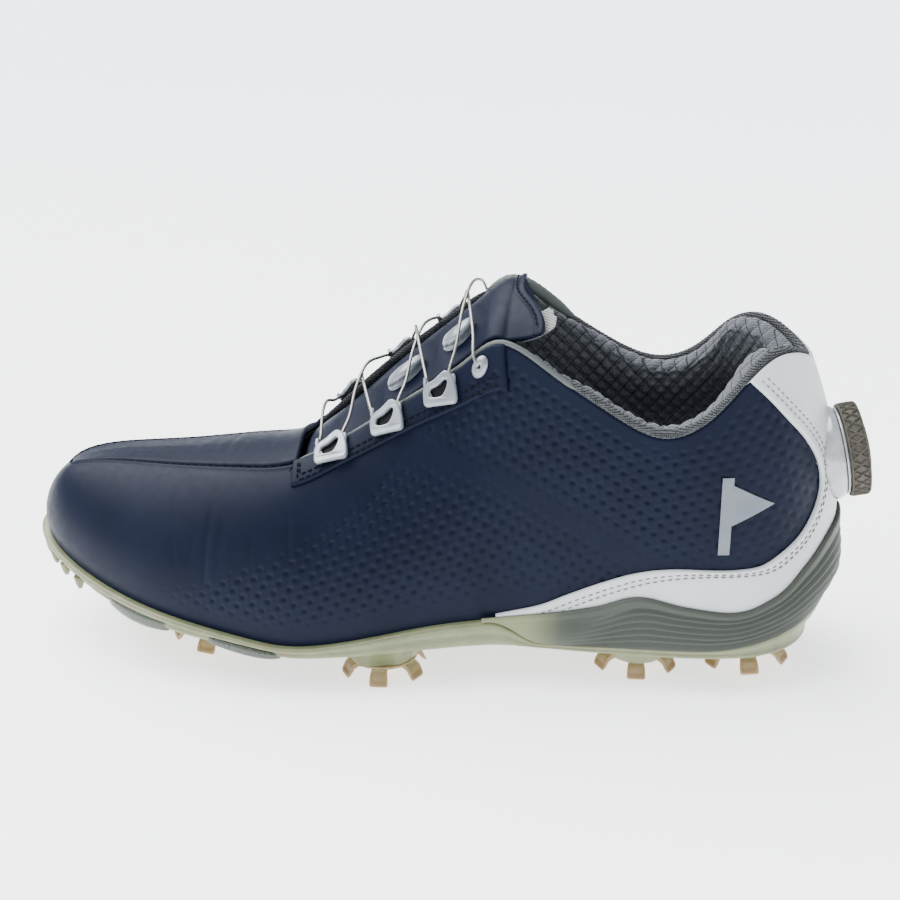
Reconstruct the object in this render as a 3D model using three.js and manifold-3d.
// A left golf shoe with a dial lace system.
// Millimetres, +Z up. The toe points to -X, the heel and its dial to +X,
// the outer (lateral) side to -Y and the inner (medial) side to +Y.
//
// The upper is a ring of ribs. Each rib is one cubic Bezier curve from the foot edge, where the
// leather meets the sole, up to the crest: the moccasin seam round the toe, then the throat edge
// and the collar's top line. Every layer of the upper is a patch of that surface between two depths.
import * as THREE from "three";
import { mergeVertices } from "three/addons/utils/BufferGeometryUtils.js";
import Module from "manifold-3d";

const wasm = await Module();
wasm.setup();

const UP = new THREE.Vector3(0, 0, 1);
const point = (x, y, z) => new THREE.Vector3(x, y, z);
const clamp = THREE.MathUtils.clamp;
const lerp = THREE.MathUtils.lerp;
const smooth = (x, low, high) => THREE.MathUtils.smoothstep(x, low, high);

// ---------------------------------------------------------------- driving dimensions

// Each rib: foot edge, crest, and how the curve bulges: the lower handle goes out and up from the
// foot edge, the upper handle goes out and down from the crest.
const OUTER_RIBS = [
  { foot: [-146, 8, 39], crest: [-135, 6, 61], bulge: [2, 9, 5, 2] },              // toe tip
  { foot: [-138.5, -10.5, 36], crest: [-130, -2.5, 63.5], bulge: [3, 11, 8, 1] },
  { foot: [-119.5, -26.5, 30.5], crest: [-115, -6.5, 66.5], bulge: [4, 16, 11, 1] },
  { foot: [-91, -40.5, 24.8], crest: [-89, -14.5, 69], bulge: [4.5, 20, 14, 2] },
  { foot: [-60, -47, 19.5], crest: [-62, -22.5, 72], bulge: [4.5, 23, 15, 3] },    // ball
  { foot: [-40, -48.5, 17.5], crest: [-43, -25, 75], bulge: [4.5, 25, 15, 5] },    // throat
  { foot: [-18, -46, 20], crest: [-24, -22, 84], bulge: [4, 26, 13, 9] },
  { foot: [4, -41.5, 23.5], crest: [-3, -20.5, 97.5], bulge: [3.5, 28, 11, 14] },
  { foot: [24, -37.5, 25], crest: [15, -21.5, 110], bulge: [3.5, 30, 8, 19] },
  { foot: [42, -36, 26], crest: [28, -24.5, 118.5], bulge: [3.5, 30, 5, 22] },     // collar front
  { foot: [60, -35.5, 26], crest: [45, -29, 109.5], bulge: [3.5, 28, 3.5, 22] },
  { foot: [76, -35.5, 26], crest: [63, -32, 98.3], bulge: [3.5, 26, 3, 20] },
  { foot: [91, -35.5, 26], crest: [80, -33.5, 90.8], bulge: [3.5, 24, 3, 18] },    // collar dip
  { foot: [106, -34.5, 26], crest: [95, -32.5, 96.8], bulge: [4, 24, 3.5, 20] },
  { foot: [119, -31, 26], crest: [106, -29, 108.6], bulge: [4.5, 25, 4, 26] },
  { foot: [130, -23, 26], crest: [115, -22.5, 115], bulge: [5, 25, 8, 30] },
  { foot: [137.5, -12, 26], crest: [123.5, -13, 114], bulge: [5.5, 25, 11, 30] },
  { foot: [140, 0, 26], crest: [129.5, 0, 110.5], bulge: [6, 25, 13, 30] },        // heel back
];
const INNER_RIBS = [
  { foot: [-138.5, 25.5, 36.5], crest: [-131, 12, 63], bulge: [3, 11, 8, 1] },
  { foot: [-120.5, 38.5, 31], crest: [-117, 16, 65], bulge: [4, 16, 11, 1] },
  { foot: [-91, 49, 24.8], crest: [-90, 15.5, 67.5], bulge: [4.5, 20, 15, 2] },
  { foot: [-62, 51, 20.5], crest: [-62, 15, 71], bulge: [4.5, 23, 17, 3] },
  { foot: [-40, 48.5, 18.5], crest: [-43, 16.5, 74.5], bulge: [4.5, 25, 17, 5] },
  { foot: [-18, 43, 20], crest: [-24, 18, 90.5], bulge: [4, 26, 14, 9] },
  { foot: [4, 37, 23.5], crest: [-3, 19.5, 107.5], bulge: [3.5, 28, 11, 14] },
  { foot: [24, 32.5, 25], crest: [15, 21.5, 120.5], bulge: [3.5, 30, 8, 19] },
  { foot: [42, 31, 26], crest: [30, 24, 127.5], bulge: [3.5, 30, 5, 22] },
  { foot: [60, 31.5, 26], crest: [46, 26.5, 117], bulge: [3.5, 28, 3.5, 22] },
  { foot: [76, 33, 26], crest: [62, 28.5, 106], bulge: [3.5, 26, 3, 20] },
  { foot: [91, 34, 26], crest: [79, 30, 98.3], bulge: [3.5, 24, 3, 18] },
  { foot: [106, 33.5, 26], crest: [94, 29.5, 101.5], bulge: [4, 24, 3.5, 20] },
  { foot: [119, 30.5, 26], crest: [105, 27.5, 111.5], bulge: [4.5, 25, 4, 26] },
  { foot: [130, 23, 26], crest: [114, 21.5, 117], bulge: [5, 25, 8, 30] },
  { foot: [137.5, 12, 26], crest: [123, 13, 115.5], bulge: [5.5, 25, 11, 30] },
];
const HEEL = OUTER_RIBS.length - 1;                 // rib number of the heel back
const RING = 2 * HEEL;                              // ribs in the whole ring
const THROAT = 5;                                   // rib where the throat starts
const COLLAR_FRONT = 9;                             // rib where the throat ends

const GAP = 0.35;                                   // clearance between neighbouring pieces
const LEATHER = 1.4;
const OVERLAY = [1.5, 0.3];                         // outer and inner offset of a stitched overlay
const LINING = 0.9;
const FOAM = 4.3;                                   // extra thickness of the collar's padding
const CABLE_RADIUS = 0.5;
const CABLE_CLEARANCE = 0.85;
const TUBE_RADIUS = 1.05;
const TUBE_DEPTH = -2.85;                           // the tubes' depth under the leather's face
const CORD_SIDES = 8;

// Grey midsole: height of its upper edge at each rib from the waist to the heel back.
const MIDSOLE_FRONT = 8;
const MIDSOLE_EDGE = [26.2, 27.8, 31.2, 35.8, 32.6, 30.6, 35, 45, 53, 57];
const MIDSOLE_SEAT = [1.9, 5.2];                    // inner and outer offset of its side wall
// Clear outsole: underside at each rib from toe to heel, and how far it stands out of the foot edge.
const SOLE_UNDER = [
  33.5, 31, 24.5, 18, 14.2, 12, 12.5, 13.3, 13.8, 13.8, 13, 12.5, 12.2, 12.2, 12.6, 14, 15.5, 16.5,
];
const SOLE_FLARE = 2.6;
const PLATE_TOP = 17.5;                             // outsole's upper face under the midsole

const CLEAT_LEGS = 6;
const CLEAT_HEIGHT = 6;
const CLEATS = [                                    // name, centre, raised by, tilt about Y in degrees
  { name: "toe", at: [-104, 9], raise: 11.5, tilt: 14 },
  { name: "fore_lateral", at: [-77, -19], raise: 4.2, tilt: 9 },
  { name: "fore_medial", at: [-77, 27], raise: 4.2, tilt: 9 },
  { name: "ball_lateral", at: [-13, -29.5], raise: 0, tilt: 0 },
  { name: "ball_medial", at: [-24, 29.5], raise: 0, tilt: 0 },
  { name: "heel_front_lateral", at: [76, -16.5], raise: 0, tilt: 0 },
  { name: "heel_front_medial", at: [76, 16.5], raise: 0, tilt: 0 },
  { name: "heel_rear_lateral", at: [115, -15.5], raise: 3.4, tilt: -7 },
  { name: "heel_rear_medial", at: [115, 15.5], raise: 3.4, tilt: -7 },
];

const DIAL_CENTRE = [141.6, 0, 75.4];
const DIAL_TILT = 12;                               // degrees that its axis points above the level
const DIAL_RADIUS = 16.6;

// ---------------------------------------------------------------- the upper's surface

// The ring runs from the toe tip along the outer side to the heel and back along the inner side.
const RIBS = [...OUTER_RIBS, ...INNER_RIBS.slice().reverse()].map(({ foot, crest, bulge }) => [
  ...foot, ...crest, ...bulge,
]);

// Smooth value of every rib column at a place along the ring, and the slope of the foot edge there.
function ribAt(place) {
  const start = Math.floor(place);
  const t = place - start;
  const rib = (k) => RIBS[(((start + k) % RING) + RING) % RING];
  const weights = [
    -0.5 * t + t * t - 0.5 * t ** 3,
    1 - 2.5 * t * t + 1.5 * t ** 3,
    0.5 * t + 2 * t * t - 1.5 * t ** 3,
    -0.5 * t * t + 0.5 * t ** 3,
  ];
  const slopes = [
    -0.5 + 2 * t - 1.5 * t * t,
    -5 * t + 4.5 * t * t,
    0.5 + 4 * t - 4.5 * t * t,
    -t + 1.5 * t * t,
  ];
  const mix = (w, i) => w.reduce((sum, weight, k) => sum + weight * rib(k - 1)[i], 0);
  const value = (i) => mix(weights, i);
  const along = point(mix(slopes, 0), mix(slopes, 1), 0).normalize();
  return {
    foot: point(value(0), value(1), value(2)),
    crest: point(value(3), value(4), value(5)),
    bulge: [6, 7, 8, 9].map(value),
    out: along.cross(UP),
  };
}

function handles(place) {
  const { foot, crest, bulge, out } = ribAt(place);
  const low = foot.clone().addScaledVector(out, bulge[0]).addScaledVector(UP, bulge[1]);
  const high = crest.clone().addScaledVector(out, bulge[2]).addScaledVector(UP, -bulge[3]);
  return { foot, low, high, crest };
}

function skin(place, v) {
  const { foot, low, high, crest } = handles(place);
  const u = 1 - v;
  return foot.multiplyScalar(u ** 3)
    .addScaledVector(low, 3 * u * u * v)
    .addScaledVector(high, 3 * u * v * v)
    .addScaledVector(crest, v ** 3);
}

function skinNormal(place, v) {
  const step = 0.01;
  const along = skin(place + step, v).sub(skin(place - step, v));
  const up = skin(place, Math.min(v + step, 1)).sub(skin(place, Math.max(v - step, 0)));
  return along.cross(up).normalize();
}

// A point at a depth off the leather's face; below the foot edge the wall goes straight down.
const DROP = 50;
function onUpper(place, v, depth) {
  const base = Math.max(v, 0);
  const result = skin(place, base).addScaledVector(skinNormal(place, base), depth);
  return result.addScaledVector(UP, Math.min(v, 0) * DROP);
}

// The arch from the outer crest (w = 0) over the foot to the inner crest (w = 1).
function onArch(place, w, depth) {
  const ends = [place, RING - place].map((s) => {
    const { high, crest } = handles(s);
    return { crest, rise: crest.clone().sub(high).normalize(), normal: skinNormal(s, 1) };
  });
  const [outer, inner] = ends;
  const reach = outer.crest.distanceTo(inner.crest) / 3;
  const q = [
    outer.crest,
    outer.crest.clone().addScaledVector(outer.rise, reach),
    inner.crest.clone().addScaledVector(inner.rise, reach),
    inner.crest,
  ];
  const u = 1 - w;
  const result = new THREE.Vector3();
  [u ** 3, 3 * u * u * w, 3 * u * w * w, w ** 3].forEach((k, i) => result.addScaledVector(q[i], k));
  const normal = outer.normal.multiplyScalar(u * u)
    .addScaledVector(UP, 2 * u * w)
    .addScaledVector(inner.normal, w * w);
  return result.addScaledVector(normal.normalize(), depth);
}

// The whole forefoot: up the side for v from 0 to 1, then half way over the arch for v from 1 to 2.
function onForefoot(place, v, depth) {
  if (v <= 1) return onUpper(place, v, depth);
  const half = (v - 1) / 2;
  return place >= 0 ? onArch(place, half, depth) : onArch(-place, 1 - half, depth);
}

// The height along a rib where it reaches a level.
function atHeight(place, z) {
  let low = 0;
  let high = 1;
  for (let i = 0; i < 30; i++) {
    const middle = (low + high) / 2;
    if (skin(place, middle).z < z) low = middle;
    else high = middle;
  }
  return low;
}

// ---------------------------------------------------------------- solids

// Layers share their columns and rows, so that their facets lie parallel and keep their gaps.
const TOE_KNOTS = [0, 0.3, 0.6, 1, 1.4, 1.8, 2.3, 3, 4, 5];
const SIDE_KNOTS = [6, 7, 8, 9, 10, 11, 12, 13, 14];
const HEEL_KNOTS = [14.6, 15.2, 15.8, 16.4, 17];
const ROWS = [0, 0.16, 0.34, 0.52, 0.7, 0.85, 1];
const KNOTS = [...TOE_KNOTS, ...SIDE_KNOTS, ...HEEL_KNOTS];
const RING_KNOTS = [...KNOTS, ...KNOTS.slice(1, -1).reverse().map((s) => RING - s)];

// Shared knots between two places of the ring, with the places themselves as ends.
function between(from, to, knots = RING_KNOTS) {
  const margin = 0.02;
  return [from, ...knots.filter((s) => s > from + margin && s < to - margin), to];
}
const range = (from, to, count) => Array.from({ length: count + 1 }, (_, i) => lerp(from, to, i / count));

// Puts a list of triangles of points together as one welded mesh without slivers.
function welded(triangles) {
  const raw = new THREE.BufferGeometry().setFromPoints(triangles.flat());
  const merged = mergeVertices(raw, 1e-4);
  const index = merged.getIndex().array;
  const kept = [];
  for (let i = 0; i < index.length; i += 3) {
    const [a, b, c] = [index[i], index[i + 1], index[i + 2]];
    if (a !== b && b !== c && c !== a) kept.push(a, b, c);
  }
  merged.setIndex(kept);
  return merged;
}

// A closed slab over a grid of columns and rows between an outer and an inner face.
function slab(columns, rows, outer, inner, { ring = false, openTop = false } = {}) {
  const face = (f) => columns.map((s) => rows.map((v) => f(s, v)));
  const [o, n] = [face(outer), face(inner)];
  const last = rows.length - 1;
  const triangles = [];
  const quad = (a, b, c, d) => triangles.push([a, b, c], [a, c, d]);
  const spans = ring ? columns.length : columns.length - 1;
  for (let i = 0; i < spans; i++) {
    const k = (i + 1) % columns.length;
    for (let j = 0; j < last; j++) {
      quad(o[i][j], o[k][j], o[k][j + 1], o[i][j + 1]);
      quad(n[i][j], n[i][j + 1], n[k][j + 1], n[k][j]);
    }
    quad(o[i][0], n[i][0], n[k][0], o[k][0]);
    if (!openTop) quad(o[i][last], o[k][last], n[k][last], n[i][last]);
  }
  if (!ring) {
    const end = columns.length - 1;
    for (let j = 0; j < last; j++) {
      quad(o[0][j], o[0][j + 1], n[0][j + 1], n[0][j]);
      quad(o[end][j], n[end][j], n[end][j + 1], o[end][j + 1]);
    }
  }
  return welded(triangles);
}

// A closed plate inside a ring of edge points, spanned from the outer side to the inner side.
const PLATE_ROWS = 2;
function plate(places, upper, lower) {
  const strip = (edge) => places.map(
    (s) => range(0, 1, PLATE_ROWS).map((w) => edge(s).lerp(edge(RING - s), w)),
  );
  const [top, bottom] = [strip(upper), strip(lower)];
  const triangles = [];
  const quad = (a, b, c, d) => triangles.push([a, b, c], [a, c, d]);
  const end = places.length - 1;
  for (let i = 0; i < end; i++) {
    for (let j = 0; j < PLATE_ROWS; j++) {
      quad(top[i][j], top[i + 1][j], top[i + 1][j + 1], top[i][j + 1]);
      quad(bottom[i][j], bottom[i][j + 1], bottom[i + 1][j + 1], bottom[i + 1][j]);
    }
    quad(bottom[i][0], bottom[i + 1][0], top[i + 1][0], top[i][0]);
    const m = PLATE_ROWS;
    quad(bottom[i + 1][m], bottom[i][m], top[i][m], top[i + 1][m]);
  }
  for (let j = 0; j < PLATE_ROWS; j++) {
    quad(bottom[0][j + 1], bottom[0][j], top[0][j], top[0][j + 1]);
    quad(bottom[end][j], bottom[end][j + 1], top[end][j + 1], top[end][j]);
  }
  return welded(triangles);
}

function solidOf(geometry) {
  const bare = geometry.clone();
  bare.deleteAttribute("normal");
  bare.deleteAttribute("uv");
  const merged = mergeVertices(bare, 1e-4);
  return new wasm.Manifold(new wasm.Mesh({
    numProp: 3,
    vertProperties: new Float32Array(merged.getAttribute("position").array),
    triVerts: new Uint32Array(merged.getIndex().array),
  }));
}

function geometryOf(solid) {
  const mesh = solid.getMesh();
  const geometry = new THREE.BufferGeometry();
  geometry.setAttribute("position", new THREE.BufferAttribute(mesh.vertProperties, 3));
  geometry.setIndex(new THREE.BufferAttribute(mesh.triVerts, 1));
  return geometry;
}

const cut = (geometry, ...tools) => geometryOf(
  tools.reduce((solid, tool) => solid.subtract(solidOf(tool)), solidOf(geometry)),
);
const join = (...geometries) => geometryOf(
  geometries.slice(1).reduce((solid, other) => solid.add(solidOf(other)), solidOf(geometries[0])),
);
const overlap = (geometry, tool) => geometryOf(solidOf(geometry).intersect(solidOf(tool)));

function lathe(profile, segments) {
  const turned = new THREE.LatheGeometry(profile.map(([r, z]) => new THREE.Vector2(r, z)), segments);
  return turned.rotateX(Math.PI / 2);
}

function extrude(outline, depth) {
  return new THREE.ExtrudeGeometry(outline, { depth, bevelEnabled: false, curveSegments: 3 });
}

// A round section swept along a smooth curve.
function cord(points, radius, sides = CORD_SIDES, bore = 0) {
  const steps = points.length - 1;
  const section = new THREE.Shape(circle(radius, sides));
  if (bore > 0) section.holes.push(new THREE.Path(circle(bore, sides).reverse()));
  const path = new THREE.CatmullRomCurve3(points, false, "centripetal");
  // One ring of the section at each point of the route, so short turns keep their shape.
  path.getSpacedPoints = path.getPoints;
  path.getTangentAt = path.getTangent;
  return new THREE.ExtrudeGeometry(section, { steps, extrudePath: path, bevelEnabled: false });
}

function circle(radius, sides) {
  return range(0, 2 * Math.PI, sides).slice(0, -1)
    .map((a) => new THREE.Vector2(radius * Math.cos(a), radius * Math.sin(a)));
}

// A prism right across the shoe with a given side-view outline of [x, z] points.
const HALF_SPAN = 70;
function sidePrism(outline, fromY = -HALF_SPAN, toY = HALF_SPAN) {
  const shape = new THREE.Shape(outline.map(([x, z]) => new THREE.Vector2(x, -z)));
  return extrude(shape, toY - fromY).rotateX(-Math.PI / 2).translate(0, fromY, 0);
}

// ---------------------------------------------------------------- the shoe

const shoe = new THREE.Group();

const finish = (color, roughness, metalness = 0) =>
  new THREE.MeshStandardMaterial({ color, roughness, metalness });
const FINISHES = {
  navy: () => finish(0x1f2a48, 0.45),
  white: () => finish(0xe9e9ea, 0.5),
  charcoal: () => finish(0x3b3c41, 0.9),
  grey_green: () => finish(0x6f7a72, 0.8),
  grey_fabric: () => finish(0x77756e, 0.9),
  midsole: () => finish(0xa3a79f, 0.55),
  clear_sole: () => finish(0xd3d6b4, 0.35),
  amber: () => finish(0xe0c890, 0.4),
  silver: () => finish(0xc6cacf, 0.3, 0.6),
  steel: () => finish(0x9a978e, 0.35, 0.9),
  taupe: () => finish(0x80776c, 0.8),
  clear: () => finish(0xb9c1c4, 0.2),
  black: () => finish(0x222326, 0.6),
  board: () => finish(0x9c8f7a, 0.9),
};

function add(name, finishName, geometry, parent = shoe) {
  const mesh = new THREE.Mesh(geometry, FINISHES[finishName]());
  mesh.name = name;
  parent.add(mesh);
  return mesh;
}

// Depths of the lining's outer face: close under the leather at the throat, deeper over the
// stiffeners and tubes, deepest behind the collar's foam.
const SHALLOW = 1.75;
const DEEP = 4.2;
const foamAt = (place, v) => {
  const s = Math.min(place, RING - place);
  return FOAM * smooth(v, 0.66, 0.93) * smooth(s, 9.8, 12);
};
function liningDepth(place, v) {
  const s = Math.abs(place) <= THROAT ? Math.abs(place) : Math.min(place, RING - place);
  const toe = 3.75 * (1 - smooth(s, 2.7, 3.7));
  const front = Math.max(toe, SHALLOW);
  const rear = lerp(front, DEEP, smooth(s, 7.6, 9));
  return rear + foamAt(place, v);
}

// ---- lace route

// Guides sit on the throat's two edges, each at a place along the ribs. The cable turns back in
// each of them: it goes in on the toe side and comes out on the heel side.
const GUIDE_PLACES = [5.74, 6.65, 7.56];
const GUIDE_V = 0.935;
const EYELET = { place: 8.45, v: 0.925 };
const GUIDE_HALF = 0.17;                            // half the turn's width, in ribs
const TONGUE_GUIDES = [{ place: 6.85, w: 0.24 }, { place: 7.78, w: 0.24 }];

const side = (place, inner) => (inner ? RING - place : place);

// The turn inside one guide, as four points from its toe end to its heel end.
function guideTurn(index, inner) {
  const s = GUIDE_PLACES[index];
  const at = (ds, v, depth) => onUpper(side(s + ds, inner), v, depth);
  return [
    at(-GUIDE_HALF - 0.03, 1, 3.1),
    at(-GUIDE_HALF, GUIDE_V, 3.2),
    at(-GUIDE_HALF * 0.55, GUIDE_V - 0.045, 3.2),
    at(GUIDE_HALF * 0.55, GUIDE_V - 0.045, 3.2),
    at(GUIDE_HALF, GUIDE_V, 3.2),
    at(GUIDE_HALF + 0.03, 1, 3.1),
  ];
}

// The cable over the tongue between two guides: fractions across the throat and its height.
function crossing(fromPlace, toPlace, fromInner, lift) {
  const steps = [0.15, 0.38, 0.62, 0.85];
  return steps.map((w) => {
    const across = fromInner ? 1 - w : w;
    const rise = lift * Math.sin(Math.PI * w);
    return onArch(lerp(fromPlace, toPlace, w), across, 0.6 + rise);
  });
}

function eyeletRun(inner) {
  const at = (ds, v, depth) => onUpper(side(EYELET.place + ds, inner), v, depth);
  return [at(-0.1, 0.985, 3.0), at(-0.03, 0.935, 2.4), at(0.02, EYELET.v, 0.4), at(0.13, 0.875, -2.2)];
}

function tubeRun(inner) {
  const at = (s, v) => onUpper(side(s, inner), v, TUBE_DEPTH);
  return [
    at(8.8, 0.84), at(9.2, 0.79), at(9.8, 0.7), at(10.5, 0.635), at(11.3, 0.61), at(12.2, 0.6),
    at(13.2, 0.6), at(14, 0.6), at(14.6, 0.6), at(15.2, 0.6), at(15.5, 0.6),
  ];
}

// The cable leaves the tube through the heel's leather and winds on the spool.
function dialEntry(inner) {
  const y = inner ? 1 : -1;
  const throughLeather = onUpper(side(15.85, inner), 0.6, -0.8);
  const onSpool = dialPoint(3, 8.6 * y, -0.1);
  return [throughLeather, dialPoint(0, 14.6 * y, -2.2), dialPoint(0, 12.6 * y, -0.4), onSpool];
}

const dialGroup = new THREE.Group();
dialGroup.position.set(...DIAL_CENTRE);
dialGroup.rotation.set(0, THREE.MathUtils.degToRad(90 - DIAL_TILT), 0);
dialGroup.updateMatrix();
function dialPoint(x, y, z) {
  return point(x, y, z).applyMatrix4(dialGroup.matrix);
}

const dialRoom = lathe([[0, -3.7], [15, -3.7], [15, 6], [0, 6]], 24).applyMatrix4(dialGroup.matrix);

const [G1, G2, G3] = GUIDE_PLACES;
const bite = GUIDE_HALF + 0.05;
const cablePoints = [
  ...dialEntry(false).reverse(),
  ...tubeRun(false).reverse(),
  ...eyeletRun(false).reverse(),
  ...crossing(EYELET.place - 0.12, G3 + bite, false, 1.2),
  ...guideTurn(2, true).reverse(),
  ...crossing(G3 - bite, G2 + bite, true, 1.2),
  ...guideTurn(1, false).reverse(),
  ...crossing(G2 - bite, G1 + bite, false, 2.2),
  ...guideTurn(0, true).reverse(),
  ...crossing(G1 - bite, G1 - bite, true, 3.2),
  ...guideTurn(0, false),
  ...crossing(G1 + bite, G2 - bite, false, 3.4),
  ...guideTurn(1, true),
  ...crossing(G2 + bite, G3 - bite, true, 2.6),
  ...guideTurn(2, false),
  ...crossing(G3 + bite, EYELET.place - 0.12, false, 2.6),
  ...eyeletRun(true),
  ...tubeRun(true),
  ...dialEntry(true),
];
const laceClearance = cord(cablePoints, CABLE_CLEARANCE, 6);

// ---- leather and linings

const wall = (depth) => (s, v) => onUpper(s, v, depth);
const layer = (columns, rows, outer, inner, options) =>
  slab(columns, rows, wall(outer), wall(inner), options);

const shell = layer(RING_KNOTS, ROWS, 0, -LEATHER, { ring: true });
add("upper_shell", "navy", cut(shell, laceClearance, dialRoom));

const edgeGap = (s) => GAP / onArch(s, 0, 0).distanceTo(onArch(s, 1, 0));
const plugRow = (depth) => (s, v) => onArch(s, lerp(edgeGap(s), 1 - edgeGap(s), v), depth);
add("vamp_plug", "navy", slab(between(0.3, THROAT), range(0, 1, 6), plugRow(0.3), plugRow(-LEATHER)));

const eyestayColumns = between(THROAT, COLLAR_FRONT);
const eyestayFoot = (s) => 0.8 + 0.03 * smooth(s, 5, 6) - 0.03 * smooth(s, 7, 9);
for (const inner of [false, true]) {
  const columns = inner ? eyestayColumns.map((s) => RING - s).reverse() : eyestayColumns;
  const low = (s) => eyestayFoot(inner ? RING - s : s);
  const face = (depth) => (s, v) => onUpper(s, Math.max(v, low(s)), depth);
  const stay = slab(columns, [0, 0.85, 1], face(OVERLAY[0]), face(OVERLAY[1]));
  add(inner ? "eyestay_medial" : "eyestay_lateral", "navy", cut(stay, laceClearance));
}

// White heel wrap: a C in side view, its lower arm long and its upper arm at the collar.
const FOXING_OUTLINE = [
  [27, 26.8], [42, 30.5], [51, 34.7], [63, 40], [74, 44], [85, 45.9], [106, 46.1], [115, 47.2], [121, 50.5],
  [127.5, 55.5], [132, 62], [134, 68], [133.8, 74], [132, 79.5], [127, 87.5], [120, 95.5], [113, 103],
  [105.5, 110], [110, 125], [160, 125], [160, 26.5], [27, 26.5],
];
const foxingBand = layer(between(8, RING - 8), [0.01, ...ROWS.slice(1)], ...OVERLAY);
const heelWrap = overlap(foxingBand, sidePrism(FOXING_OUTLINE));
add("heel_foxing", "white", cut(heelWrap, laceClearance, dialRoom));

const ARCH_ROWS = [1.33, 1.67, 2];
const toeKnots = [...TOE_KNOTS.slice(1).reverse().map((s) => -s), ...TOE_KNOTS];
const forefootRows = [0.03, ...ROWS.slice(1), ...ARCH_ROWS];
const liningFace = (extra) => (s, v) => onForefoot(s, v, -liningDepth(s, v) - extra);
add("vamp_lining", "grey_fabric",
  slab(toeKnots, forefootRows, liningFace(0), liningFace(LINING), { openTop: true }));

const quarterColumns = between(THROAT + 0.05, RING - THROAT - 0.05);
const quarterRows = [0.03, ...ROWS.slice(1)];
const quarterFace = (extra) => (s, v) => onUpper(s, v, -liningDepth(s, v) - extra);
add("collar_lining", "charcoal", slab(quarterColumns, quarterRows, quarterFace(0), quarterFace(LINING)));

const foamRows = [0.7, 0.85, 0.985];
const FOAM_FRONT = 11;
const foamInner = (s, v) => onUpper(s, v, 2 * GAP - liningDepth(s, v));
const foam = slab(between(FOAM_FRONT, RING - FOAM_FRONT), foamRows, wall(-LEATHER - GAP), foamInner);
add("collar_foam", "black", cut(foam, dialRoom));

const STIFFENER = [-1.9, -3.3];
add("toe_puff", "board", slab(
  between(-2.3, 2.3, toeKnots), [0.05, ...ROWS.slice(1), ...ARCH_ROWS],
  (s, v) => onForefoot(s, v, STIFFENER[0]), (s, v) => onForefoot(s, v, STIFFENER[1]), { openTop: true },
));
const counter = layer(between(12, RING - 12), [0.03, 0.16, 0.34, 0.52], ...STIFFENER);
add("heel_counter", "board", cut(counter, dialRoom));

// The rolled collar edge caps leather, foam and lining. Its section is a flat-bottomed roll.
const ROLL = [[0.2, 0.35], [0.4, 1.6], [-0.12, 2.9], [-0.5, 3.3], [-0.88, 2.9], [-1.4, 1.6], [-1.2, 0.35]];
const rollColumns = between(COLLAR_FRONT, RING - COLLAR_FRONT);
function rollPoint(s, k) {
  const width = liningDepth(s, 1) + LINING;
  const [across, rise] = ROLL[k];
  const slope = skin(s, 1).sub(skin(s, 0.97)).normalize();
  const overhang = k < 2 ? across : k > 4 ? -width - (across + 1) : width * across;
  const front = Math.min(s, RING - s);
  const height = lerp(0.55, 1, smooth(front, 9.5, 11.5));
  return onUpper(s, 1, overhang).addScaledVector(slope, Math.max(rise * height, 0.45));
}
function roll() {
  const rings = rollColumns.map((s) => ROLL.map((_, k) => rollPoint(s, k)));
  const triangles = [];
  const sides = ROLL.length;
  for (let i = 0; i < rings.length - 1; i++) {
    for (let k = 0; k < sides; k++) {
      const m = (k + 1) % sides;
      const [a, b, c, d] = [rings[i][k], rings[i + 1][k], rings[i + 1][m], rings[i][m]];
      triangles.push([a, b, c], [a, c, d]);
    }
  }
  const end = rings.length - 1;
  for (let k = 1; k < sides - 1; k++) {
    triangles.push([rings[0][0], rings[0][k], rings[0][k + 1]]);
    triangles.push([rings[end][0], rings[end][k + 1], rings[end][k]]);
  }
  return welded(triangles);
}
add("collar_binding", "charcoal", roll());

// ---- tongue

// The tongue follows the arch a little below the throat's edges and reaches past the collar front.
const TONGUE_FACE = -2.2;
const TONGUE_THICK = 3.6;
const TONGUE_TOP = 9.25;
const TONGUE_SIDE = 0.09;
function onTongue(place, w, depth) {
  if (place <= COLLAR_FRONT) return onArch(place, w, depth);
  const end = onArch(COLLAR_FRONT, w, depth);
  const before = onArch(COLLAR_FRONT - 1, w, depth);
  return end.clone().addScaledVector(end.clone().sub(before), place - COLLAR_FRONT);
}
const tongueFace = (depth) => (s, w) => onTongue(s, lerp(TONGUE_SIDE, 1 - TONGUE_SIDE, w), depth);
const TONGUE_FRONT = THROAT + 0.12;
const tongueColumns = range(TONGUE_FRONT, TONGUE_TOP, 10);
const TONGUE_UNDER = TONGUE_FACE - TONGUE_THICK;
add("tongue", "navy", slab(tongueColumns, range(0, 1, 6), tongueFace(TONGUE_FACE), tongueFace(TONGUE_UNDER)));

// Stretch gussets close the gap between tongue and eyestay, under the lining.
for (const inner of [false, true]) {
  const across = (w) => (inner ? 1 - w : w);
  const rows = inner ? [0, 0.55, 1].reverse() : [0, 0.55, 1];
  const face = (depth) => (s, v) => {
    const hidden = onUpper(side(s, inner), 0.955, -4.6);
    const hem = onTongue(s, across(TONGUE_SIDE - 0.025), -4.4);
    return hidden.lerp(hem, v).addScaledVector(UP, depth);
  };
  const columns = range(THROAT + 0.3, COLLAR_FRONT - 0.9, 6);
  const name = inner ? "tongue_gusset_medial" : "tongue_gusset_lateral";
  add(name, "grey_fabric", slab(columns, rows, face(0), face(-0.7)));
}

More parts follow.
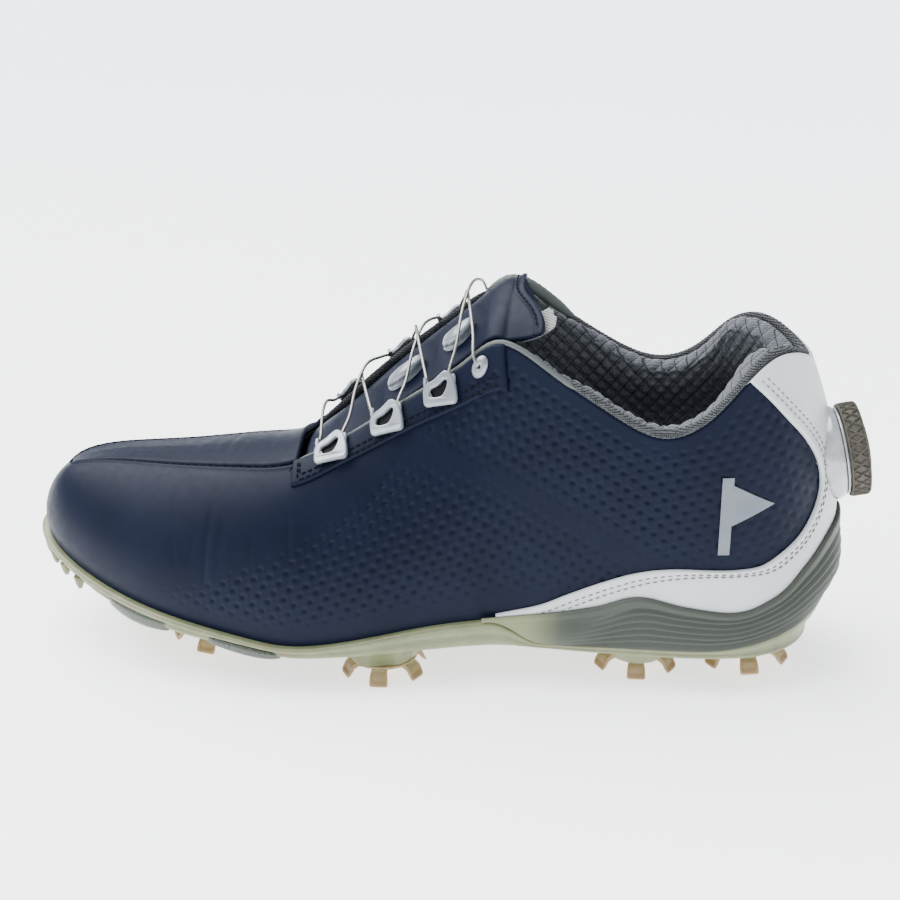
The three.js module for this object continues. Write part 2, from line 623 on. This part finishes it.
// Fabric tab sewn in the tongue's outer top corner.
const TAB_FACE = TONGUE_UNDER - 0.5;
const tabFace = (depth) => (s, w) => onTongue(s, w, depth);
add("tongue_tab", "grey_fabric",
  slab(range(TONGUE_TOP - 0.6, TONGUE_TOP + 0.1, 3), range(0.1, 0.26, 2),
    tabFace(TAB_FACE), tabFace(TAB_FACE - 0.8)));

// Crescent guides on the tongue: a curved pad with a tunnel for two runs of cable.
TONGUE_GUIDES.forEach(({ place, w }, i) => {
  const half = 0.3;
  const face = (top) => (s, v) => {
    const t = (s - place) / half;
    const width = 0.08 * Math.sqrt(Math.max(1 - t * t, 0.12));
    const centre = w + 0.05 * t * t;
    const depth = top ? TONGUE_FACE + 3.4 + 2.6 * (1 - t * t) : TONGUE_FACE + GAP;
    return onTongue(s, centre + width * (2 * v - 1), depth);
  };
  const pad = slab(range(place - half, place + half, 6), range(0, 1, 2), face(true), face(false));
  add(i === 0 ? "tongue_guide_lower" : "tongue_guide_upper", "silver", cut(pad, laceClearance));
});

// ---- lace, guides, eyelets

add("lace", "steel", cord(cablePoints, CABLE_RADIUS));

// A frame that lies flat on the upper: x along the shoe, y up the rib, z out of the leather.
function surfaceFrame(place, v, depth) {
  const normal = skinNormal(place, v);
  const upward = skin(place, Math.min(v + 0.02, 1)).sub(skin(place, v - 0.02)).normalize();
  const along = upward.clone().cross(normal).normalize();
  const upright = normal.clone().cross(along).normalize();
  const frame = new THREE.Matrix4().makeBasis(along, upright, normal);
  return frame.setPosition(onUpper(place, v, depth));
}

const GUIDE_THICKNESS = 3.2;
function guidePlate() {
  const outline = new THREE.Shape();
  outline.moveTo(-5.2, -4.6);
  outline.lineTo(5.2, -4.6);
  outline.quadraticCurveTo(5.9, -1, 4.6, 3.2);
  outline.lineTo(2.6, 4.9);
  outline.quadraticCurveTo(-2.5, 3.6, -4.9, 2.6);
  outline.quadraticCurveTo(-5.9, 0, -5.2, -4.6);
  const window = new THREE.Path();
  window.absellipse(0.2, 0.4, 3.3, 1.9, 0, 2 * Math.PI, true, 0.35);
  outline.holes.push(window);
  return extrude(outline, GUIDE_THICKNESS);
}
for (const inner of [false, true]) {
  const ends = [side(THROAT, inner), side(COLLAR_FRONT, inner)].sort((a, b) => a - b);
  const stayRoom = layer(between(...ends), [0.7, 0.85, 1], OVERLAY[0] + GAP, -2);
  GUIDE_PLACES.forEach((place, i) => {
    const guide = guidePlate().applyMatrix4(surfaceFrame(side(place, inner), GUIDE_V, OVERLAY[0]));
    const name = `${inner ? "medial" : "lateral"}_guide_${i + 1}`;
    add(name, "silver", cut(guide, stayRoom, laceClearance));
  });
  const rim = lathe([[1.1, -1], [3.6, -1], [3.4, 1.3], [2.2, 1.8], [1.1, 1.3], [1.1, -1]], 10);
  rim.scale(0.8, 1.25, 1).rotateZ(inner ? 0.5 : -0.5);
  rim.applyMatrix4(surfaceFrame(side(EYELET.place, inner), EYELET.v, OVERLAY[0]));
  add(inner ? "medial_eyelet" : "lateral_eyelet", "silver", cut(rim, stayRoom, laceClearance));
  const tube = cord(tubeRun(inner).slice(1, -1), TUBE_RADIUS, 6, 0.72);
  add(inner ? "lace_tube_medial" : "lace_tube_lateral", "black", tube);
}

// ---- generic pennant on the outer quarter

const PENNANT = [[100, 52], [103.4, 52], [103.4, 62], [117, 68.5], [103.4, 75.5], [103.4, 78], [100, 78]];
const badgeBand = layer(range(12.2, 14.8, 8), range(0.3, 0.75, 6), 0.95, 0.3);
add("heel_badge", "silver", overlap(badgeBand, sidePrism(PENNANT, -HALF_SPAN, 0)));

// ---- inside the shoe, under the foot

const SOLE_PLACES = [0.02, ...range(0.5, HEEL - 0.5, 17), HEEL - 0.02];
const inset = (s, amount, z) => {
  const { foot, out } = ribAt(s);
  return point(foot.x - out.x * amount, foot.y - out.y * amount, foot.z + z);
};
add("insole_board", "board", plate(SOLE_PLACES,
  (s) => inset(s, 6.1, 2.2), (s) => inset(s, 6.1, 0.3)));
add("footbed", "charcoal", plate(SOLE_PLACES,
  (s) => inset(s, 6.1, 6.4), (s) => inset(s, 6.1, 2.5)));

// ---- sole

const soleUnder = (s) => {
  const t = Math.min(s, RING - s);
  const k = Math.min(Math.floor(t), HEEL - 1);
  return lerp(SOLE_UNDER[k], SOLE_UNDER[k + 1], t - k);
};
const midsoleEdge = (s) => {
  const t = clamp(Math.min(s, RING - s) - MIDSOLE_FRONT, 0, MIDSOLE_EDGE.length - 1.001);
  const k = Math.floor(t);
  return lerp(MIDSOLE_EDGE[k], MIDSOLE_EDGE[k + 1], t - k);
};
const plateTop = (s) => {
  const t = Math.min(s, RING - s);
  const forefoot = ribAt(s).foot.z - 0.45;
  return t < 8 ? forefoot : lerp(forefoot, PLATE_TOP - 0.3, smooth(t, 8, 9));
};
const soleEdge = (height, flare) => (s) => {
  const { foot, out } = ribAt(s);
  return point(foot.x + out.x * flare(s), foot.y + out.y * flare(s), height(s));
};
const rearness = (s) => smooth(Math.min(s, RING - s), 8, 10);
const topFlare = (s) => SOLE_FLARE + 1.6 * rearness(s);
const underFlare = (s) => SOLE_FLARE - 1.4 - 2.2 * rearness(s);
const solePlate = plate(SOLE_PLACES, soleEdge(plateTop, topFlare), soleEdge(soleUnder, underFlare));

// Tilted frame of one cleat: its origin is on the cleat's tip plane.
function cleatFrame({ at, raise, tilt }) {
  const frame = new THREE.Matrix4().makeRotationY(THREE.MathUtils.degToRad(tilt));
  return frame.setPosition(at[0], at[1], raise);
}
const BOSS_RADIUS = 15.5;
const BOSS_UNDER = CLEAT_HEIGHT + 0.4;
const BOSS_TOP = 12.4;
const SOCKET_TOP = 10.4;
const boss = lathe([
  [0, BOSS_UNDER], [8.5, BOSS_UNDER], [13.4, 8.2], [BOSS_RADIUS, BOSS_TOP], [0, BOSS_TOP],
], 12);
const SOCKET_SIDES = 8;
const socketRoom = lathe([
  [0, 5], [6.9, 5], [6.9, 8.2], [8.9, 8.2], [8.9, SOCKET_TOP], [0, SOCKET_TOP],
], SOCKET_SIDES);
const bosses = CLEATS.map((cleat) => boss.clone().applyMatrix4(cleatFrame(cleat)));
const rooms = CLEATS.map((cleat) => socketRoom.clone().applyMatrix4(cleatFrame(cleat)));

// Small teeth under the toe's rim.
const TOOTH = [[-1.6, 0], [1.6, 0], [0.5, -4.2], [-0.5, -4.2]];
const teeth = [0.45, 0.85, 1.25, 1.6, RING - 0.35, RING - 0.75, RING - 1.15, RING - 1.5].map((s) => {
  const foot = inset(s, 3.5, 0);
  const tooth = extrude(new THREE.Shape(TOOTH.map(([x, z]) => new THREE.Vector2(x, z))), 2.4);
  return tooth.rotateX(Math.PI / 2).translate(foot.x, foot.y, soleUnder(s) + 1.8);
});
add("outsole", "clear_sole", cut(join(solePlate, ...bosses, ...teeth), ...rooms));

// The midsole: a base on the outsole and a wall that wraps the heel.
const baseTop = (s) => ribAt(s).foot.z - 0.35;
const midFlare = (s) => lerp(SOLE_FLARE, MIDSOLE_SEAT[1], smooth(Math.min(s, RING - s), 8, 9.5));
const REAR_PLACES = [...range(MIDSOLE_FRONT, HEEL - 0.5, 14), HEEL - 0.02];
const midUnder = (s) => plateTop(s) + 0.5;
const midBase = plate(REAR_PLACES.map((s) => Math.max(s, 8.35)),
  soleEdge(baseTop, midFlare), soleEdge(midUnder, (s) => topFlare(s)));
const wallTop = (s) => atHeight(s, midsoleEdge(s));
const wallPoint = (outer) => (s, v) => {
  const top = wallTop(s);
  const thin = outer ? lerp(MIDSOLE_SEAT[1], 3.3, smooth(v, 0.2, 1)) : MIDSOLE_SEAT[0];
  const front = lerp(2.5, thin, smooth(Math.min(s, RING - s), 8.4, 9.6));
  return onUpper(s, lerp(-0.06, top, v), outer ? front : thin);
};
const midWall = slab(between(8.7, RING - 8.7), range(0, 1, 3), wallPoint(true), wallPoint(false));

const SHANK = [[36, 9], [66, 7.5]];
const shank = extrude(new THREE.Shape([
  new THREE.Vector2(SHANK[0][0], -SHANK[0][1]), new THREE.Vector2(SHANK[1][0], -SHANK[1][1]),
  new THREE.Vector2(SHANK[1][0], SHANK[1][1]), new THREE.Vector2(SHANK[0][0], SHANK[0][1]),
]), 1.4);
shank.translate(0, 0, 20.3);
const shankRoom = new THREE.BoxGeometry(36, 20, 2.4).translate(50, 0, 21);
add("midsole", "midsole", cut(join(midBase, midWall), shankRoom));
add("shank", "steel", shank);

// ---- cleats and their sockets

const LEG = [[6.2, 5.2], [12.4, 4.8], [14.9, 2], [14.9, 0], [12.5, 0], [11.2, 3], [6.2, 3.6]];
const LEG_WIDTH = 4.4;
function cleatSolid() {
  const hub = lathe([[0, 3.2], [8.2, 3.2], [8, 5.8], [4, 5.8], [4, 9.2], [0, 9.2]], 9);
  const legs = range(0, 2 * Math.PI, CLEAT_LEGS).slice(0, -1).map((angle) => {
    const leg = extrude(new THREE.Shape(LEG.map(([r, z]) => new THREE.Vector2(r, z))), LEG_WIDTH);
    return leg.translate(0, 0, -LEG_WIDTH / 2).rotateX(Math.PI / 2).rotateZ(angle + Math.PI / 6);
  });
  return join(hub, ...legs);
}
const socketSolid = lathe([
  [4.4, 6.3], [6.5, 6.3], [6.5, 8.6], [8.5, 8.6], [8.5, SOCKET_TOP - 0.4], [0, SOCKET_TOP - 0.4],
  [0, 9.6], [4.4, 9.6], [4.4, 6.3],
], SOCKET_SIDES);
const cleatShape = cleatSolid();
for (const cleat of CLEATS) {
  const frame = cleatFrame(cleat);
  add(`cleat_${cleat.name}`, "amber", cleatShape.clone().applyMatrix4(frame));
  add(`socket_${cleat.name}`, "steel", socketSolid.clone().applyMatrix4(frame));
}

// ---- dial

shoe.add(dialGroup);
const inverse = dialGroup.matrix.clone().invert();
const heelBlock = layer(range(13.5, RING - 13.5, 16), range(0.2, 0.95, 8), OVERLAY[0] + GAP, -14)
  .applyMatrix4(inverse);
const laceRoom = laceClearance.clone().applyMatrix4(inverse);
const saddle = cut(lathe([[0, -11], [15.6, -11], [16.2, 0.6], [15.6, 1.6], [0, 1.6]], 24), heelBlock);
const cup = lathe([[0, -3.3], [14.6, -3.3], [14.6, 1.6], [0, 1.6]], 24);
const spoolRoom = lathe([
  [2.1, 3], [2.1, -2.5], [12.4, -2.5], [12.4, 3], [2.1, 3],
], 20);
const screwBore = lathe([[0, 3], [0.95, 3], [0.95, 7], [0, 7]], 10);
const post = lathe([[0, -3], [2.1, -3], [2.1, 6.6], [0, 6.6]], 20);
add("dial_base", "clear", cut(join(cut(join(saddle, cup), spoolRoom), post), laceRoom, screwBore), dialGroup);
add("dial_housing", "clear", lathe([
  [12.7, 2], [15.6, 2], [15.6, 2.7], [13.6, 2.7], [13.6, 5.4], [12.7, 5.4], [12.7, 2],
], 24), dialGroup);
add("dial_spool", "black", lathe([
  [2.4, -2.1], [11.4, -2.1], [11.4, -1.5], [7.6, -1.2], [7.6, 0.9], [11.4, 1.2], [11.4, 1.8], [5, 1.8],
  [5, 3], [2.4, 3], [2.4, -2.1],
], 16), dialGroup);
add("dial_drive", "silver", lathe([
  [2.4, 3.4], [12.2, 3.4], [12.2, 5], [2.4, 5], [2.4, 3.4],
], 16), dialGroup);
add("dial_screw", "steel", lathe([
  [0, 3.2], [0.75, 3.2], [0.75, 6.8], [2.8, 6.8], [2.8, 7.4], [0, 7.4],
], 10), dialGroup);
const RIDGES = 20;
const RIDGE_DEPTH = 0.55;
const RIM_DEPTH = 6.4;
const rimOutline = new THREE.Shape(range(0, 2 * Math.PI, 2 * RIDGES).slice(0, -1).map((a, i) => {
  const r = DIAL_RADIUS - (i % 2) * RIDGE_DEPTH;
  return new THREE.Vector2(r * Math.cos(a), r * Math.sin(a));
}));
const knobCavity = lathe([[0, 2.5], [14.1, 2.5], [14.1, 5.9], [3.3, 5.9], [3.3, 8], [0, 8]], 16);
const knobRecess = lathe([[0, 8.9], [12.3, 8.9], [12.3, 12], [0, 12]], 16);
const rim = extrude(rimOutline, RIM_DEPTH).translate(0, 0, 3);
add("dial_knob", "taupe", cut(rim, knobCavity, knobRecess), dialGroup);
add("dial_cap", "silver", lathe([
  [0, 9.2], [12, 9.2], [12, 9.7], [8.5, 10.7], [4, 11.1], [0, 11.2],
], 20), dialGroup);

// The shoe stands on its cleats, centred on its own box.
shoe.updateMatrixWorld(true);
const box = new THREE.Box3().setFromObject(shoe, true);
const centre = box.getCenter(new THREE.Vector3());
const assembly = new THREE.Group();
assembly.add(shoe);
shoe.position.set(-centre.x, -centre.y, -box.min.z);

export default assembly;
